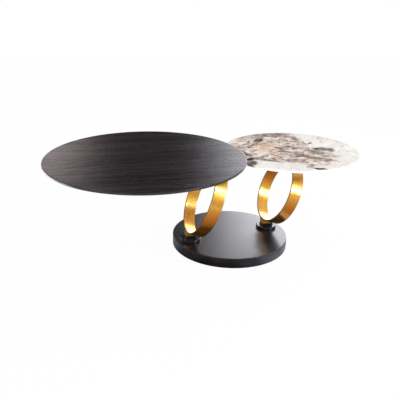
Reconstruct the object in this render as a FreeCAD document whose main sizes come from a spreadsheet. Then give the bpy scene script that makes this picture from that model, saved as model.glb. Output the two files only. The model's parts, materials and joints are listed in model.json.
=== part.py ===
import FreeCAD, Part
import math
import os
import Sketcher

# A swivel coffee table. Two round tops, a large one of veneered board and a smaller, lower one
# of stone, each stand on a leaning hoop of flat bar. Each hoop is welded to a foot block that
# turns on its own vertical shaft in a heavy round base, so the tops fan out or nest.
#
# Frame: millimetres, +Z up, origin on the floor under the centre of the base, +X towards the
# stone top. A hoop leans along its own heading, an angle from +X. The pieces of an arm are drawn
# about their swivel axis with the heading along +X, and are then turned and moved to their place.

SIZES = [
    # the base slab
    ("base_diameter", "480"),
    ("pad_thickness", "3"),
    ("pad_inset", "6"),
    ("shell_height", "41"),
    ("shell_wall", "3"),
    ("shell_edge_radius", "2"),
    ("cover_thickness", "2"),
    ("cover_gap", "0.3"),
    ("ballast_thickness", "16"),
    ("ballast_gap", "4"),
    # what holds the ballast and the cover
    ("stud_circle_radius", "90"),
    ("stud_diameter", "8"),
    ("stud_nut_width", "13"),
    ("stud_nut_height", "6.5"),
    ("cover_screw_circle_radius", "205"),
    ("cover_screw_bearing", "30"),
    ("cover_screw_diameter", "5"),
    ("cover_screw_reach", "8"),
    ("spacer_diameter", "12"),
    ("thread_gap", "0.1"),
    ("tap_margin", "1"),
    # where the two swivels stand
    ("pivot_radius", "178"),
    ("pivot_bearing", "21"),
    # the bearing housings, their bushes and screws
    ("flange_diameter", "86"),
    ("flange_height", "12"),
    ("flange_edge_bevel", "2"),
    ("spigot_diameter", "46"),
    ("spigot_length", "20"),
    ("spigot_gap", "0.2"),
    ("housing_screw_diameter", "6"),
    ("housing_screw_head_diameter", "10.5"),
    ("housing_screw_head_height", "3.5"),
    ("housing_screw_cover", "4"),
    ("ballast_hub_gap", "3"),
    ("bush_diameter", "26"),
    ("bush_flange_diameter", "40"),
    ("bush_flange_thickness", "2"),
    ("grease_gap", "1"),
    ("fit_gap", "0.05"),
    ("slide_washer_diameter", "60"),
    ("slide_washer_thickness", "1.5"),
    # the shafts and what locks them
    ("shaft_diameter", "20"),
    ("shaft_root", "12"),
    ("running_gap", "0.05"),
    ("shaft_thread_diameter", "14"),
    ("lock_washer_diameter", "38"),
    ("lock_washer_thickness", "2"),
    ("lock_nut_width", "22"),
    ("lock_nut_height", "7"),
    # the hoops and their blocks
    ("lean_angle", "21"),
    ("band_width", "50"),
    ("band_thickness", "6"),
    ("band_edge_break", "0.8"),
    ("foot_height", "18.5"),
    ("block_depth", "44"),
    ("block_width", "38"),
    ("block_edge_radius", "2"),
    ("weld_gap", "0.1"),
    ("large_heading", "10"),
    ("small_heading", "12"),
    ("large_head_height", "25"),
    ("small_head_height", "26"),
    # the wood top and its support plate
    ("table_height", "410"),
    ("board_diameter", "780"),
    ("board_thickness", "18"),
    ("board_bevel_drop", "10"),
    ("board_bevel_width", "40"),
    ("board_arris", "1"),
    ("board_overhang", "94"),
    ("support_plate_thickness", "6"),
    ("support_plate_width", "110"),
    ("support_plate_margin", "7"),
    ("recess_gap", "0.5"),
    ("board_screw_diameter", "5"),
    ("board_screw_margin", "17"),
    ("board_screw_cover", "4"),
    # the stone top, its backing disc and plate
    ("nesting_gap", "6"),
    ("slab_diameter", "550"),
    ("slab_thickness", "12"),
    ("slab_bevel_drop", "3"),
    ("slab_bevel_width", "8"),
    ("slab_arris", "1"),
    ("slab_offset", "86"),
    ("backing_diameter", "260"),
    ("backing_thickness", "8"),
    ("mounting_plate_diameter", "170"),
    ("mounting_plate_thickness", "5"),
    ("plate_screw_diameter", "6"),
    ("plate_screw_margin", "18"),
    ("plate_screw_cover", "2"),
]

STUD_COUNT = 3
COVER_SCREW_COUNT = 4
HOUSING_SCREW_COUNT = 3
BOARD_SCREW_COLUMNS = 3
PLATE_SCREW_COUNT = 4
HEX_SIDES = 6

# Two measures closer than this are the same
SAME_PLACE = 1e-4

doc = FreeCAD.newDocument("swivel_coffee_table")
sizes = doc.addObject("Spreadsheet::Sheet", "Sizes")
for row, (alias, number) in enumerate(SIZES, 1):
    sizes.set(f"A{row}", alias)
    sizes.set(f"B{row}", number)
    sizes.setAlias(f"B{row}", alias)
doc.recompute()

# Heights above the floor, from the pad up to the tops
COVER_TOP = "(Sizes.pad_thickness + Sizes.cover_thickness)"
BASE_TOP = "(Sizes.pad_thickness + Sizes.shell_height)"
SHEET_UNDERSIDE = f"({BASE_TOP} - Sizes.shell_wall)"
BALLAST_UNDERSIDE = f"({SHEET_UNDERSIDE} - Sizes.ballast_thickness)"
SPIGOT_END = f"({BASE_TOP} - Sizes.spigot_length)"
LOWER_BUSH_END = f"({SPIGOT_END} - Sizes.bush_flange_thickness)"
LOCK_WASHER_UNDERSIDE = f"({LOWER_BUSH_END} - Sizes.lock_washer_thickness)"
LOCK_NUT_UNDERSIDE = f"({LOCK_WASHER_UNDERSIDE} - Sizes.lock_nut_height)"
FLANGE_TOP = f"({BASE_TOP} + Sizes.flange_height)"
FOOT_UNDERSIDE = f"({FLANGE_TOP} + Sizes.slide_washer_thickness)"
HOOP_SEAT = f"({FOOT_UNDERSIDE} + Sizes.foot_height)"
BOARD_UNDERSIDE = "(Sizes.table_height - Sizes.board_thickness)"
SLAB_TOP = f"({BOARD_UNDERSIDE} - Sizes.nesting_gap)"
SLAB_UNDERSIDE = f"({SLAB_TOP} - Sizes.slab_thickness)"
BACKING_UNDERSIDE = f"({SLAB_UNDERSIDE} - Sizes.backing_thickness)"
MOUNTING_PLATE_UNDERSIDE = f"({BACKING_UNDERSIDE} - Sizes.mounting_plate_thickness)"

# Each hoop fills the height between its foot block and its head block
SIDES = ("large", "small")
HEAD_TOP = {"large": BOARD_UNDERSIDE, "small": MOUNTING_PLATE_UNDERSIDE}
SIN_LEAN = "sin(Sizes.lean_angle * 1 deg)"
COS_LEAN = "cos(Sizes.lean_angle * 1 deg)"
HOOP_TOP = {side: f"({HEAD_TOP[side]} - Sizes.{side}_head_height)" for side in SIDES}
HOOP_RADIUS = {side: f"(({HOOP_TOP[side]} - {HOOP_SEAT}) / (2 * {COS_LEAN}))" for side in SIDES}
HEAD_REACH = {side: f"(2 * {HOOP_RADIUS[side]} * {SIN_LEAN})" for side in SIDES}

# How far each top's centre lies from its swivel axis, along the heading
BOARD_OFFSET = f"({HEAD_REACH['large']} + Sizes.board_overhang - Sizes.board_diameter / 2)"
SLAB_OFFSET = "Sizes.slab_offset"


def value(expression):
    """The number that an expression on the sheet gives."""
    result = sizes.evalExpression(expression)
    return float(getattr(result, "Value", result))


def on_circle(radius, degrees):
    """The two expressions of a point at an angle on a circle about the origin."""
    return f"{radius} * cos({degrees} * 1 deg)", f"{radius} * sin({degrees} * 1 deg)"


def origin_feature(body, role):
    for feature in body.Origin.OriginFeatures:
        if feature.Role == role:
            return feature
    raise ValueError(f"{body.Label} has no {role}")


def new_body(label, several_solids=False):
    body = doc.addObject("PartDesign::Body", label)
    body.Label = label
    body.AllowCompound = several_solids
    return body


def new_sketch(body, name, role, offset="0"):
    """A sketch on one of the body's own origin planes, moved along its normal by an offset."""
    sketch = body.newObject("Sketcher::SketchObject", name)
    sketch.AttachmentSupport = (origin_feature(body, role), [""])
    sketch.MapMode = "FlatFace"
    sketch.setExpression("AttachmentOffset.Base.z", offset)
    return sketch


def drive(sketch, constraint, expression):
    """Adds a constraint and binds its size to the sheet."""
    number = sketch.addConstraint(constraint)
    sketch.setExpression(f"Constraints[{number}]", expression)


def pin(sketch, geometry, point, across, up):
    """Holds one point of a sketch at two expressions from the sketch's origin."""
    for kind, expression in (("DistanceX", across), ("DistanceY", up)):
        constraint = Sketcher.Constraint(kind, -1, 1, geometry, point, value(expression))
        drive(sketch, constraint, expression)


def draw_outline(sketch, corners):
    """A closed outline of straight lines whose corners are pairs of expressions."""
    points = [FreeCAD.Vector(value(across), value(up), 0) for across, up in corners]
    first = sketch.GeometryCount
    for start, end in zip(points, points[1:] + points[:1]):
        sketch.addGeometry(Part.LineSegment(start, end), False)
    for number, (across, up) in enumerate(corners):
        following = first + (number + 1) % len(corners)
        sketch.addConstraint(Sketcher.Constraint("Coincident", first + number, 2, following, 1))
        pin(sketch, first + number, 1, across, up)


def draw_circle(sketch, across, up, radius):
    centre = FreeCAD.Vector(value(across), value(up), 0)
    circle = Part.Circle(centre, FreeCAD.Vector(0, 0, 1), value(radius))
    number = sketch.addGeometry(circle, False)
    pin(sketch, number, 3, across, up)
    drive(sketch, Sketcher.Constraint("Radius", number, value(radius)), radius)


def draw_axis(sketch, start, end):
    """A construction line that a turned feature uses as its axis."""
    points = [FreeCAD.Vector(value(across), value(up), 0) for across, up in (start, end)]
    number = sketch.addGeometry(Part.LineSegment(*points), True)
    pin(sketch, number, 1, *start)
    pin(sketch, number, 2, *end)


def draw_slot(sketch, first_centre, last_centre, radius):
    """A slot along the sketch's horizontal: two half circles joined by two tangent lines."""
    left, right, reach = value(first_centre), value(last_centre), value(radius)
    quarter = math.pi / 2
    for centre, start in ((left, quarter), (right, -quarter)):
        circle = Part.Circle(FreeCAD.Vector(centre, 0, 0), FreeCAD.Vector(0, 0, 1), reach)
        sketch.addGeometry(Part.ArcOfCircle(circle, start, start + math.pi), False)
    for height in (-reach, reach):
        ends = FreeCAD.Vector(left, height, 0), FreeCAD.Vector(right, height, 0)
        sketch.addGeometry(Part.LineSegment(*ends), False)
    for arc, arc_end, line, line_end in ((0, 2, 2, 1), (1, 1, 2, 2), (1, 2, 3, 2), (0, 1, 3, 1)):
        sketch.addConstraint(Sketcher.Constraint("Tangent", arc, arc_end, line, line_end))
    pin(sketch, 0, 3, first_centre, "0")
    pin(sketch, 1, 3, last_centre, "0")
    sketch.addConstraint(Sketcher.Constraint("Equal", 0, 1))
    drive(sketch, Sketcher.Constraint("Radius", 0, reach), radius)


def turn(body, sketch, axis="V_Axis"):
    """Turns a section through a full circle about one of its sketch's axes."""
    turning = body.newObject("PartDesign::Revolution", f"{body.Label}_turning")
    turning.Profile = sketch
    turning.ReferenceAxis = (sketch, [axis])
    turning.Angle = 360
    doc.recompute()
    return turning


def turned(label, section):
    """A body turned about its vertical axis from the corners of its half section."""
    body = new_body(label)
    sketch = new_sketch(body, f"{label}_section", "XZ_Plane")
    draw_outline(sketch, section)
    turn(body, sketch)
    return body


def turned_aside(body, across, section, offset="0"):
    """A solid turned about a vertical line that stands beside the body's own axis."""
    sketch = new_sketch(body, f"{body.Label}_section", "XZ_Plane", offset)
    draw_axis(sketch, (across, section[0][1]), (across, section[-1][1]))
    draw_outline(sketch, [(f"{across} + {out}", up) for out, up in section])
    return turn(body, sketch, "Axis0")


def tube_section(bore, outside, bottom, top):
    return [(bore, bottom), (outside, bottom), (outside, top), (bore, top)]


def screw_section(head_radius, head_bottom, head_top, shank_radius, end, cone=False):
    """Half a screw that points up: a countersunk head is a cone, any other a cylinder."""
    section = [("0", head_bottom), (head_radius, head_bottom)]
    if not cone:
        section.append((head_radius, head_top))
    return section + [(shank_radius, head_top), (shank_radius, end), ("0", end)]


def pad_up(body, sketch, height):
    pad = body.newObject("PartDesign::Pad", f"{body.Label}_pad")
    pad.Profile = sketch
    pad.setExpression("Length", height)
    doc.recompute()
    return pad


def cut_up(body, name, sketch, depth):
    """Cuts a sketch upwards from its plane, and makes sure that it took something away."""
    before = body.Shape.Volume
    pocket = body.newObject("PartDesign::Pocket", name)
    pocket.Profile = sketch
    pocket.Reversed = True
    pocket.setExpression("Length", depth)
    doc.recompute()
    if body.Shape.Volume >= before:
        raise RuntimeError(f"{name} cuts nothing from {body.Label}")


def drill_up(body, name, centres, radius, start, depth):
    """Round holes that run up from the height start."""
    sketch = new_sketch(body, f"{name}_circles", "XY_Plane", start)
    for across, along in centres:
        draw_circle(sketch, across, along, radius)
    cut_up(body, name, sketch, depth)


def edge_names(body, wanted):
    """The names of the body's edges whose curve is wanted."""
    edges = enumerate(body.Tip.Shape.Edges, 1)
    return [f"Edge{number}" for number, edge in edges if wanted(edge.Curve)]


def is_circle(curve):
    return isinstance(curve, Part.Circle)


def is_upright(curve):
    return isinstance(curve, Part.Line) and math.isclose(abs(curve.Direction.z), 1)


def circle_edges(body, radius, height):
    """The names of the body's level circular edges of one radius at one height."""
    return edge_names(body, lambda curve: (
        is_circle(curve)
        and math.isclose(curve.Radius, value(radius), abs_tol=SAME_PLACE)
        and math.isclose(curve.Center.z, value(height), abs_tol=SAME_PLACE)
    ))


def dress(body, kind, edges, size):
    """A fillet or a chamfer on the named edges."""
    dressed = body.Tip
    feature = body.newObject(f"PartDesign::{kind}", f"{body.Label}_{kind.lower()}")
    feature.Base = (dressed, edges)
    feature.setExpression("Radius" if kind == "Fillet" else "Size", size)
    body.Tip = feature
    doc.recompute()


def repeat_round(body, feature, count):
    """Repeats a feature round the body's vertical axis."""
    pattern = body.newObject("PartDesign::PolarPattern", f"{body.Label}_ring")
    pattern.Originals = [feature]
    pattern.Axis = (origin_feature(body, "Z_Axis"), [""])
    pattern.Angle = 360
    pattern.Occurrences = count
    body.Tip = pattern
    doc.recompute()


def place(body, across, along, turn_angle):
    """Turns a body about the vertical and moves it level to its place."""
    body.setExpression("Placement.Rotation.Angle", f"{turn_angle} * 1 deg")
    body.setExpression("Placement.Base.x", across)
    body.setExpression("Placement.Base.y", along)


def place_in_base(body, turn_angle="Sizes.pivot_bearing"):
    place(body, "0", "0", turn_angle)


def pivot_point(side):
    """The two expressions of a swivel axis: the two stand opposite each other."""
    across, along = on_circle("Sizes.pivot_radius", "Sizes.pivot_bearing")
    return (f"-{across}", f"-{along}") if side == "large" else (across, along)


def place_at_pivot(body, side, turn_angle, offset="0"):
    """Puts a body at a swivel axis, or at an offset from it along the way it is turned."""
    across, along = pivot_point(side)
    out, beside = on_circle(offset, turn_angle)
    place(body, f"{across} + {out}", f"{along} + {beside}", turn_angle)


# ---------------------------------------------------------------- the base slab
# A pressed steel lid with a rolled top edge. Its skirt hides the ballast.
shell_radius = "Sizes.base_diameter / 2"
skirt_inside = f"({shell_radius} - Sizes.shell_wall)"
base_shell = turned("base_shell", [
    ("0", SHEET_UNDERSIDE),
    (skirt_inside, SHEET_UNDERSIDE),
    (skirt_inside, "Sizes.pad_thickness"),
    (shell_radius, "Sizes.pad_thickness"),
    (shell_radius, BASE_TOP),
    ("0", BASE_TOP),
])
dress(base_shell, "Fillet", circle_edges(base_shell, shell_radius, BASE_TOP), "Sizes.shell_edge_radius")
spigot_hole = "Sizes.spigot_diameter / 2 + Sizes.spigot_gap"
hub_centres = [("Sizes.pivot_radius", "0"), ("-Sizes.pivot_radius", "0")]
drill_up(base_shell, "spigot_holes", hub_centres, spigot_hole, SHEET_UNDERSIDE, "Sizes.shell_wall")
housing_screw_circle = "((Sizes.flange_diameter + Sizes.spigot_diameter) / 4)"
housing_screw_radius = "Sizes.housing_screw_diameter / 2"
housing_screw_centres = []
# The first screw of each swivel lies on its side towards the middle of the base
for (hub_across, hub_along), inward in zip(hub_centres, (180, 0)):
    for number in range(HOUSING_SCREW_COUNT):
        angle = inward + number * 360 / HOUSING_SCREW_COUNT
        out, beside = on_circle(housing_screw_circle, angle)
        housing_screw_centres.append((f"{hub_across} + {out}", f"{hub_along} + {beside}"))
drill_up(base_shell, "housing_screw_holes", housing_screw_centres,
         f"{housing_screw_radius} + Sizes.thread_gap", SHEET_UNDERSIDE, "Sizes.shell_wall")
place_in_base(base_shell)

# The ballast disc, the cover and what fastens them are drawn with the first cover screw on +X,
# so the two hubs lie back from +X by the bearing of that screw.
screw_turn = "(Sizes.pivot_bearing + Sizes.cover_screw_bearing)"
hubs_from_screw = [
    on_circle("Sizes.pivot_radius", "(-Sizes.cover_screw_bearing)"),
    on_circle("Sizes.pivot_radius", "(180 - Sizes.cover_screw_bearing)"),
]
ballast_radius = f"({skirt_inside} - Sizes.ballast_gap)"
cover_screw_radius = "Sizes.cover_screw_diameter / 2"
cover_screw_centres = [
    on_circle("Sizes.cover_screw_circle_radius", number * 360 / COVER_SCREW_COUNT)
    for number in range(COVER_SCREW_COUNT)
]
stud_centres = [
    on_circle("Sizes.stud_circle_radius", number * 360 / STUD_COUNT) for number in range(STUD_COUNT)
]

# A flame-cut steel disc under the top sheet, hung on weld studs
ballast_disc = turned("ballast_disc", [
    ("0", BALLAST_UNDERSIDE),
    (ballast_radius, BALLAST_UNDERSIDE),
    (ballast_radius, SHEET_UNDERSIDE),
    ("0", SHEET_UNDERSIDE),
])
hub_hole = (
    f"({housing_screw_circle} + Sizes.housing_screw_head_diameter / 2 + Sizes.ballast_hub_gap)"
)
drill_up(ballast_disc, "hub_holes", hubs_from_screw, hub_hole, BALLAST_UNDERSIDE,
         "Sizes.ballast_thickness")
drill_up(ballast_disc, "stud_holes", stud_centres, "Sizes.stud_diameter / 2 + Sizes.thread_gap",
         BALLAST_UNDERSIDE, "Sizes.ballast_thickness")
drill_up(ballast_disc, "tapped_holes", cover_screw_centres,
         f"{cover_screw_radius} + Sizes.thread_gap", BALLAST_UNDERSIDE,
         "Sizes.cover_screw_reach + Sizes.tap_margin")
place_in_base(ballast_disc, screw_turn)

# Weld studs on the underside of the top sheet, and the nuts that clamp the ballast to it
ballast_studs = new_body("ballast_studs", several_solids=True)
stud = turned_aside(ballast_studs, "Sizes.stud_circle_radius", tube_section(
    "0", "Sizes.stud_diameter / 2", f"{BALLAST_UNDERSIDE} - Sizes.stud_nut_height", SHEET_UNDERSIDE
))
repeat_round(ballast_studs, stud, STUD_COUNT)
place_in_base(ballast_studs, screw_turn)


def hexagon(centre, width):
    """The corners of a hexagon of a width across its flats."""
    corners = []
    for number in range(HEX_SIDES):
        out, beside = on_circle(f"{width} / (2 * cos(30 deg))", number * 360 / HEX_SIDES)
        corners.append((f"{centre} + {out}", beside))
    return corners


def nut(body, centre, width, bore, bottom, height):
    """A hexagon nut that stands on the height bottom."""
    sketch = new_sketch(body, f"{body.Label}_outline", "XY_Plane", bottom)
    draw_outline(sketch, hexagon(centre, width))
    draw_circle(sketch, centre, "0", bore)
    return pad_up(body, sketch, height)


ballast_nuts = new_body("ballast_nuts", several_solids=True)
stud_nut = nut(ballast_nuts, "Sizes.stud_circle_radius", "Sizes.stud_nut_width",
               "Sizes.stud_diameter / 2 + Sizes.thread_gap",
               f"{BALLAST_UNDERSIDE} - Sizes.stud_nut_height", "Sizes.stud_nut_height")
repeat_round(ballast_nuts, stud_nut, STUD_COUNT)
place_in_base(ballast_nuts, screw_turn)

# A thin cover closes the mouth of the skirt, on spacer sleeves under the ballast
bottom_cover = turned("bottom_cover", [
    ("0", "Sizes.pad_thickness"),
    (f"{skirt_inside} - Sizes.cover_gap", "Sizes.pad_thickness"),
    (f"{skirt_inside} - Sizes.cover_gap", COVER_TOP),
    ("0", COVER_TOP),
])
cover_screw_hole = f"({cover_screw_radius} + Sizes.thread_gap)"
drill_up(bottom_cover, "cover_screw_holes", cover_screw_centres, cover_screw_hole,
         "Sizes.pad_thickness", "Sizes.cover_thickness")
# The heads are as deep as the cover is thick, so they lie flush in it
countersink_depth = "(Sizes.cover_thickness - Sizes.thread_gap)"
dress(bottom_cover, "Chamfer", circle_edges(bottom_cover, cover_screw_hole, "Sizes.pad_thickness"),
      countersink_depth)
place_in_base(bottom_cover, screw_turn)

cover_spacers = new_body("cover_spacers", several_solids=True)
spacer = turned_aside(cover_spacers, "Sizes.cover_screw_circle_radius", tube_section(
    cover_screw_hole, "Sizes.spacer_diameter / 2", COVER_TOP, BALLAST_UNDERSIDE
))
repeat_round(cover_spacers, spacer, COVER_SCREW_COUNT)
place_in_base(cover_spacers, screw_turn)

cover_screws = new_body("cover_screws", several_solids=True)
cover_screw = turned_aside(cover_screws, "Sizes.cover_screw_circle_radius", screw_section(
    f"({cover_screw_radius} + {countersink_depth})", "Sizes.pad_thickness",
    f"(Sizes.pad_thickness + {countersink_depth})", cover_screw_radius,
    f"({BALLAST_UNDERSIDE} + Sizes.cover_screw_reach)", cone=True
))
repeat_round(cover_screws, cover_screw, COVER_SCREW_COUNT)
place_in_base(cover_screws, screw_turn)

# A soft pad under the cover keeps steel off the floor
floor_pad = turned("floor_pad", tube_section(
    "0", f"{shell_radius} - Sizes.pad_inset", "0", "Sizes.pad_thickness"
))

# ---------------------------------------------------------------- the swivels
bush_radius = "Sizes.bush_diameter / 2"
housing_bore = f"({bush_radius} + Sizes.fit_gap)"
bush_bore = "(Sizes.shaft_diameter / 2 + Sizes.running_gap)"
bush_flange_radius = "Sizes.bush_flange_diameter / 2"
bush_length = (
    "((Sizes.flange_height + Sizes.spigot_length"
    " - Sizes.bush_flange_thickness - Sizes.grease_gap) / 2)"
)
bush_seat = f"({FLANGE_TOP} - Sizes.bush_flange_thickness)"
shaft_radius = "Sizes.shaft_diameter / 2"
thread_radius = "Sizes.shaft_thread_diameter / 2"
housing_screw_reach = "(Sizes.flange_height - Sizes.housing_screw_cover)"

for side in SIDES:
    # The way from this swivel to the middle of the base
    inward_turn = "Sizes.pivot_bearing" if side == "large" else "(Sizes.pivot_bearing + 180)"

    # A bearing housing turned from solid: a flange on the base, a spigot down through it
    housing = turned(f"{side}_swivel_housing", [
        (housing_bore, SPIGOT_END),
        ("Sizes.spigot_diameter / 2", SPIGOT_END),
        ("Sizes.spigot_diameter / 2", BASE_TOP),
        ("Sizes.flange_diameter / 2", BASE_TOP),
        ("Sizes.flange_diameter / 2", FLANGE_TOP),
        (f"{bush_flange_radius} + Sizes.fit_gap", FLANGE_TOP),
        (f"{bush_flange_radius} + Sizes.fit_gap", bush_seat),
        (housing_bore, bush_seat),
    ])
    dress(housing, "Chamfer", circle_edges(housing, "Sizes.flange_diameter / 2", FLANGE_TOP),
          "Sizes.flange_edge_bevel")
    tapped_centres = [
        on_circle(housing_screw_circle, number * 360 / HOUSING_SCREW_COUNT)
        for number in range(HOUSING_SCREW_COUNT)
    ]
    drill_up(housing, f"{side}_tapped_holes", tapped_centres,
             f"{housing_screw_radius} + Sizes.thread_gap", BASE_TOP,
             f"{housing_screw_reach} + Sizes.tap_margin")
    place_at_pivot(housing, side, inward_turn)

    # Screws from inside the base clamp the flange down on the top sheet
    housing_screws = new_body(f"{side}_housing_screws", several_solids=True)
    housing_screw = turned_aside(housing_screws, housing_screw_circle, screw_section(
        "Sizes.housing_screw_head_diameter / 2",
        f"({SHEET_UNDERSIDE} - Sizes.housing_screw_head_height)", SHEET_UNDERSIDE,
        housing_screw_radius, f"({BASE_TOP} + {housing_screw_reach})"
    ))
    repeat_round(housing_screws, housing_screw, HOUSING_SCREW_COUNT)
    place_at_pivot(housing_screws, side, inward_turn)

    # Two flanged bushes carry the shaft, one from each end of the bore
    upper_bush = turned(f"{side}_upper_bush", [
        (bush_bore, f"{bush_seat} - {bush_length}"),
        (bush_radius, f"{bush_seat} - {bush_length}"),
        (bush_radius, bush_seat),
        (bush_flange_radius, bush_seat),
        (bush_flange_radius, FLANGE_TOP),
        (bush_bore, FLANGE_TOP),
    ])
    place_at_pivot(upper_bush, side, inward_turn)
    lower_bush = turned(f"{side}_lower_bush", [
        (bush_bore, LOWER_BUSH_END),
        (bush_flange_radius, LOWER_BUSH_END),
        (bush_flange_radius, SPIGOT_END),
        (bush_radius, SPIGOT_END),
        (bush_radius, f"{SPIGOT_END} + {bush_length}"),
        (bush_bore, f"{SPIGOT_END} + {bush_length}"),
    ])
    place_at_pivot(lower_bush, side, inward_turn)

    # The foot block slides on a plastic washer
    slide_washer = turned(f"{side}_slide_washer", tube_section(
        f"{bush_bore} + Sizes.recess_gap", "Sizes.slide_washer_diameter / 2",
        FLANGE_TOP, FOOT_UNDERSIDE
    ))
    place_at_pivot(slide_washer, side, inward_turn)

    # The shaft is plain in the bushes, threaded below them and welded into the foot block
    shaft = turned(f"{side}_swivel_shaft", [
        ("0", LOCK_NUT_UNDERSIDE),
        (thread_radius, LOCK_NUT_UNDERSIDE),
        (thread_radius, LOWER_BUSH_END),
        (shaft_radius, LOWER_BUSH_END),
        (shaft_radius, f"{FOOT_UNDERSIDE} + Sizes.shaft_root"),
        ("0", f"{FOOT_UNDERSIDE} + Sizes.shaft_root"),
    ])
    heading = f"Sizes.{side}_heading"
    place_at_pivot(shaft, side, heading)
    lock_washer = turned(f"{side}_lock_washer", tube_section(
        f"{thread_radius} + Sizes.thread_gap", "Sizes.lock_washer_diameter / 2",
        LOCK_WASHER_UNDERSIDE, LOWER_BUSH_END
    ))
    place_at_pivot(lock_washer, side, heading)
    lock_nut = new_body(f"{side}_lock_nut")
    nut(lock_nut, "0", "Sizes.lock_nut_width", f"{thread_radius} + Sizes.thread_gap",
        LOCK_NUT_UNDERSIDE, "Sizes.lock_nut_height")
    place_at_pivot(lock_nut, side, heading)


# ---------------------------------------------------------------- the hoops
def tilted(side, along_axis, outward):
    """A point of a hoop's section, from the hoop's centre: along its axis, and outwards."""
    radius = HOOP_RADIUS[side]
    across = f"({radius} + {outward}) * {SIN_LEAN} - ({along_axis}) * {COS_LEAN}"
    up = f"{HOOP_SEAT} + ({radius} + {outward}) * {COS_LEAN} + ({along_axis}) * {SIN_LEAN}"
    return across, up


def tilted_turning(body, side, kind, half_width, inner, outer):
    """Turns a band between two radii about the leaning axis of a hoop."""
    name = f"{body.Label}_{kind.lower()}"
    sketch = new_sketch(body, f"{name}_section", "XZ_Plane")
    draw_axis(sketch, tilted(side, f"-{half_width}", "0"), tilted(side, half_width, "0"))
    draw_outline(sketch, [
        tilted(side, f"-{half_width}", f"-({inner})"),
        tilted(side, f"-{half_width}", f"-({outer})"),
        tilted(side, half_width, f"-({outer})"),
        tilted(side, half_width, f"-({inner})"),
    ])
    feature = body.newObject(f"PartDesign::{kind}", name)
    feature.Profile = sketch
    feature.ReferenceAxis = (sketch, ["Axis0"])
    feature.Angle = 360
    doc.recompute()


def saddle_block(label, side, centre, bottom, top):
    """An upright block with rounded corners, cut to a saddle by the leaning hoop."""
    body = new_body(label)
    sketch = new_sketch(body, f"{label}_outline", "XY_Plane", bottom)
    half_depth = "Sizes.block_depth / 2"
    half_width = "Sizes.block_width / 2"
    draw_outline(sketch, [
        (f"{centre} - {half_depth}", f"-{half_width}"),
        (f"{centre} + {half_depth}", f"-{half_width}"),
        (f"{centre} + {half_depth}", half_width),
        (f"{centre} - {half_depth}", half_width),
    ])
    pad_up(body, sketch, f"{top} - {bottom}")
    dress(body, "Fillet", edge_names(body, is_upright), "Sizes.block_edge_radius")
    before = body.Shape.Volume
    tilted_turning(body, side, "Groove", "Sizes.band_width", "0",
                   f"{HOOP_RADIUS[side]} + Sizes.weld_gap")
    if body.Shape.Volume >= before:
        raise RuntimeError(f"the saddle cuts nothing from {label}")
    return body


for side in SIDES:
    heading = f"Sizes.{side}_heading"
    # Flat bar rolled into a hoop, with its edges broken, leaning over the swivel axis
    hoop = new_body(f"{side}_hoop")
    tilted_turning(hoop, side, "Revolution", "Sizes.band_width / 2",
                   f"{HOOP_RADIUS[side]} - Sizes.band_thickness", HOOP_RADIUS[side])
    dress(hoop, "Chamfer", edge_names(hoop, is_circle), "Sizes.band_edge_break")
    place_at_pivot(hoop, side, heading)

    # The foot block stands on the slide washer, and its blind bore takes the shaft
    foot_block = saddle_block(f"{side}_foot_block", side, "0", FOOT_UNDERSIDE,
                              f"({HOOP_SEAT} + Sizes.band_width / 2)")
    drill_up(foot_block, f"{side}_shaft_bore", [("0", "0")], f"{shaft_radius} + Sizes.fit_gap",
             FOOT_UNDERSIDE, "Sizes.shaft_root")
    place_at_pivot(foot_block, side, heading)

    # The head block fills the wedge between the hoop's top and the plate above it
    head_block = saddle_block(f"{side}_head_block", side, HEAD_REACH[side],
                              f"({HOOP_TOP[side]} - Sizes.band_width / 2)", HEAD_TOP[side])
    place_at_pivot(head_block, side, heading)


# ---------------------------------------------------------------- the wood top
def top_section(radius, underside, top, bevel_drop, bevel_width):
    """Half a round top whose underside is bevelled so that its rim looks thin."""
    return [
        ("0", underside),
        (f"{radius} - {bevel_width}", underside),
        (radius, f"{underside} + {bevel_drop}"),
        (radius, top),
        ("0", top),
    ]


board_radius = "Sizes.board_diameter / 2"
wood_board = turned("wood_board", top_section(
    board_radius, BOARD_UNDERSIDE, "Sizes.table_height",
    "Sizes.board_bevel_drop", "Sizes.board_bevel_width"
))
dress(wood_board, "Chamfer", circle_edges(wood_board, board_radius, "Sizes.table_height"),
      "Sizes.board_arris")

# A steel plate let flush into the underside runs from the hoop's head to the board's centre.
# Here it is drawn about the board's centre.
plate_radius = "Sizes.support_plate_width / 2"
plate_reach = f"({board_radius} - Sizes.board_bevel_width - Sizes.support_plate_margin)"
outer_centre = f"({plate_reach} - {plate_radius})"
inner_centre = plate_radius
recess_sketch = new_sketch(wood_board, "plate_recess_outline", "XY_Plane", BOARD_UNDERSIDE)
draw_slot(recess_sketch, inner_centre, outer_centre, f"{plate_radius} + Sizes.recess_gap")
cut_up(wood_board, "plate_recess", recess_sketch, "Sizes.support_plate_thickness")

# Two rows of wood screws, past either side of the head block
board_screw_radius = "Sizes.board_screw_diameter / 2"
board_screw_head = "Sizes.board_screw_diameter"
screw_row = f"({plate_radius} - Sizes.board_screw_margin)"
screw_row_length = f"({outer_centre} - {inner_centre})"
board_screw_hole = f"({board_screw_radius} + Sizes.thread_gap)"
board_screw_centres = []
for column in range(BOARD_SCREW_COLUMNS):
    share = column / (BOARD_SCREW_COLUMNS - 1)
    for row in (f"-{screw_row}", screw_row):
        board_screw_centres.append((f"{inner_centre} + {screw_row_length} * {share}", row))
recess_ceiling = f"({BOARD_UNDERSIDE} + Sizes.support_plate_thickness)"
board_screw_reach = (
    "(Sizes.board_thickness - Sizes.support_plate_thickness - Sizes.board_screw_cover)"
)
drill_up(wood_board, "pilot_holes", board_screw_centres, board_screw_hole, recess_ceiling,
         board_screw_reach)
place_at_pivot(wood_board, "large", "Sizes.large_heading", BOARD_OFFSET)

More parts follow.
